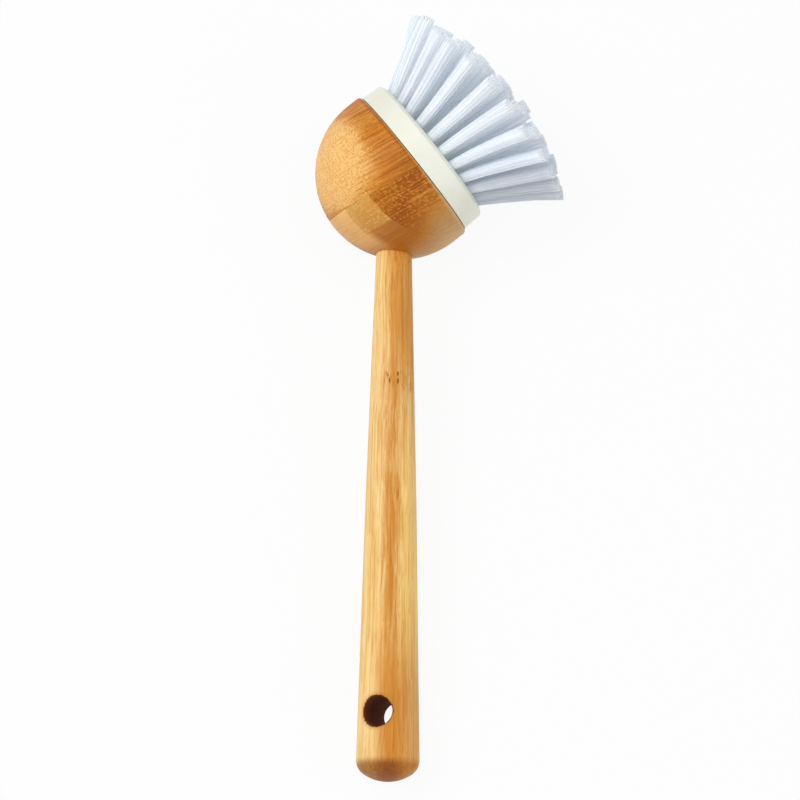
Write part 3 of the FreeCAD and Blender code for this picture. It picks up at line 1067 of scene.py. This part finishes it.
        points = np.array(self.meeting_point) + np.concatenate([inside, outside]) @ tuft_axes * MM
        points[:, 2] = np.maximum(points[:, 2], 0.0)
        tone = np.concatenate([np.full(len(level), self.heart_tone),
                               np.repeat(draw.uniform(0, 1, self.filaments), len(self.strand.points))])
        reaches = np.concatenate([level, np.tile(self.strand.points[:, 2], self.filaments)])
        # Painted shade: tufts that turn to the lean side, away from the key lamp, take tones towards the grey.
        painted_shade_grey = np.interp(direction.dot(self.lean), self.painted_shade_lean, (0, 1))
        white = self.white_tone + (1 - self.white_tone) * tone
        return points, white * (1 - painted_shade_grey) + self.painted_shade_tone * tone * painted_shade_grey, reaches

    def bundle_faces(self, tufts: int) -> list[tuple[int, ...]]:
        """Copies the faces of the heart and the filaments.

        Args:
            tufts: how many tufts they are for.

        Returns:
            The faces, in the order of the points.
        """
        faces, start = [], 0
        for shape in ([self.heart] + [self.strand] * self.filaments) * tufts:
            faces += [tuple(i + start for i in face) for face in shape.faces]
            start += len(shape.points)
        return faces

    def tuft(self, node: str, body: str, directions: list[Vector], seed: int) -> Object:
        """Builds the piece that stands for one CAD node of tufts.

        Args:
            node: the CAD node.
            body: the body that it rides on.
            directions: the direction of each tuft in it.
            seed: the seed of its small differences.

        Returns:
            The piece.
        """
        draw = np.random.default_rng(seed)
        points, tone, reach = (np.concatenate(parts) for parts in
                               zip(*(self.bundle(d, draw) for d in directions)))
        mesh = bpy.data.meshes.new(node + "_nylon")
        mesh.from_pydata(points.tolist(), [], self.bundle_faces(len(directions)))
        for name, values in (("tone", tone), ("reach", reach)):
            attribute = mesh.attributes.new(name, "FLOAT", "POINT")
            attribute.data.foreach_set("value", values.astype(np.float32))
        mesh.materials.append(self.finish)
        mesh.shade_smooth()
        piece = bpy.data.objects.new(mesh.name, mesh)
        bpy.context.scene.collection.objects.link(piece)
        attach(piece, body)
        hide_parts(node)
        return piece

    def direction_of(self, node: str) -> Vector:
        """Gives the direction of the one tuft in a CAD node."""
        points = np.array([v.co for v in frame["nodes"][node].data.vertices])
        return (Vector((points.min(0) + points.max(0)) / 2) - self.meeting_point).normalized()

    def ring_directions(self, node: str) -> list[Vector]:
        """Finds the six tufts of the innermost ring, which share a CAD node.

        Args:
            node: the CAD node.

        Returns:
            Their directions.
        """
        side = self.axis.orthogonal().normalized()
        other = self.axis.cross(side)
        offsets = [v.co - self.brush.origin for v in frame["nodes"][node].data.vertices]
        turns = np.array([math.atan2(o.dot(other), o.dot(side)) for o in offsets])
        first = np.angle(np.exp(1j * self.ring_of_six * turns).mean()) / self.ring_of_six
        second = self.direction_of(Ring.SECOND.value + "01").angle(self.axis)
        inner = math.atan(math.tan(second) / 2)
        return [self.axis * math.cos(inner) + (side * math.cos(a) + other * math.sin(a)) * math.sin(inner)
                for a in first + np.arange(self.ring_of_six) * math.tau / self.ring_of_six]

    def build(self) -> list[Object]:
        """Builds all the tufts.

        Returns:
            The pieces.
        """
        jobs = [("centre_tuft", self.centre_body, [self.axis]),
                ("first_ring_tufts", self.body, self.ring_directions("first_ring_tufts"))]
        for ring in Ring:
            jobs += [(node, self.body, [self.direction_of(node)])
                     for node in sorted(frame["nodes"]) if node.startswith(ring.value)]
        return [self.tuft(*job, self.seed + number) for number, job in enumerate(jobs)]


@dataclass(frozen=True)
class Lamp:
    """A square soft lamp that faces the brush: place and side in metres, power in watts."""

    name: str
    at: Triple
    side: float
    power: float


@dataclass
class Studio:
    """A pale floor, soft light from the upper left and the camera."""

    brush: BrushFrame
    floor_size: float = 6.0
    floor_white: Colour = paint(238, 238, 238)
    floor_rough: float = 0.9
    floor_gloss: float = 0.1
    floor_glow: float = 0.92
    sky_light: float = 0.56
    sky: Colour = paint(250, 252, 255)
    target: Triple = (-39.5, -51.0, 0.0)
    lamps: tuple[Lamp, ...] = (Lamp("key_lamp", (0.06, 0.64, 1.2), 0.9, 9.0),
                               Lamp("fill_lamp", (-0.6, -1.1, 0.9), 1.4, 4.0))
    eye: Triple = (-42.57, -326.72, 914.46)
    image_right: Triple = (0.78256, -0.59685, -0.17712)
    image_up: Triple = (0.62257, 0.75115, 0.21947)
    lens: float = 138.45
    sensor: float = 36.0
    nearest: float = 0.01

    def backdrop(self, g: Graph, strength: float, plain: Socket, white: Socket) -> None:
        """Shows white to the camera, mirrors and clear pieces, and the plain shader to other rays.

        Args:
            g: the nodes that it is added to.
            strength: the share of white that those rays see.
            plain: the shader for other rays.
            white: the white shader.
        """
        rays = g.add("LightPath").outputs
        seen = g.calc("MAXIMUM", rays["Is Camera Ray"],
                      g.calc("MAXIMUM", rays["Is Glossy Ray"], rays["Is Transmission Ray"]))
        mix = g.add("MixShader", {0: g.times(seen, strength), 1: plain, 2: white})
        output = next(n for n in g.tree.nodes if "Surface" in n.inputs)
        g.feed(output.inputs["Surface"], mix.outputs[0])

    def lay_floor(self) -> None:
        """Lays the floor, whose own white is most of what the camera sees but keeps the shadow."""
        bpy.ops.mesh.primitive_plane_add(size=self.floor_size)
        floor = bpy.context.object
        floor.name = "studio_floor"
        g = Graph(bpy.data.materials.new("studio_floor"))
        g.finish(Base_Color=self.floor_white, Roughness=self.floor_rough,
                 Specular_IOR_Level=self.floor_gloss)
        self.backdrop(g, self.floor_glow, g.shader.outputs[0], g.add("Emission").outputs[0])
        floor.data.materials.append(g.owner)

    def light_world(self) -> None:
        """Makes the sky white to the camera and a soft light to the brush."""
        g = Graph(bpy.data.worlds.new("studio_sky"))
        bpy.context.scene.world = g.finish(Color=(1, 1, 1, 1))
        light = g.add("Background", {"Color": self.sky, "Strength": self.sky_light})
        self.backdrop(g, 1.0, light.outputs[0], g.shader.outputs[0])

    def hang(self, lamp: Lamp) -> None:
        """Hangs a lamp in its place.

        Args:
            lamp: the lamp.
        """
        bpy.ops.object.light_add(type="AREA", location=lamp.at)
        light = bpy.context.object
        light.name = lamp.name
        light.data.size = lamp.side
        light.data.energy = lamp.power
        away = Vector(lamp.at) - self.brush.point(*self.target)
        light.rotation_euler = away.to_track_quat("Z", "Y").to_euler()

    def set_camera(self) -> None:
        """Sets the camera at the photograph's place."""
        camera = bpy.data.objects.new("studio_camera", bpy.data.cameras.new("studio_camera"))
        bpy.context.scene.collection.objects.link(camera)
        towards, eye = self.brush.direction, self.brush.point(*self.eye)
        view = AxisFrame(eye, towards(*self.image_right), towards(*self.image_up))
        camera.matrix_world = Matrix.Translation(eye) @ view.turn().transposed().to_4x4()
        camera.data.lens = self.lens
        camera.data.sensor_width = self.sensor
        camera.data.clip_start = self.nearest
        bpy.context.scene.camera = camera

    def build(self) -> None:
        """Sets up the floor, the light, the camera and plain colours."""
        self.lay_floor()
        self.light_world()
        for lamp in self.lamps:
            self.hang(lamp)
        self.set_camera()
        bpy.context.scene.view_settings.view_transform = "Standard"


def main() -> None:
    """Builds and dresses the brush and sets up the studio."""
    brush = BrushFrame.from_record()
    hole = hang_hole()
    bore = AxisFrame(Vector(hole["pos_m"]), Vector(hole["axis"]).normalized(), brush.direction(0, 1, 0))

    stick = HandleStick(brush, bore)
    handle = stick.build()
    stick.dress(handle)
    LOG.info("handle: %d faces", len(handle.data.polygons))
    HeadBlock(brush).dress()
    LOG.info("head dome dressed")
    BristlePlate(brush).dress()
    LOG.info("plate and staples dressed")
    tufts = BristleFan(brush).build()
    LOG.info("tufts: %d pieces, %d faces", len(tufts), sum(len(t.data.polygons) for t in tufts))
    Studio(brush).build()
    LOG.info("studio ready")


if __name__ == "__main__":
    main()
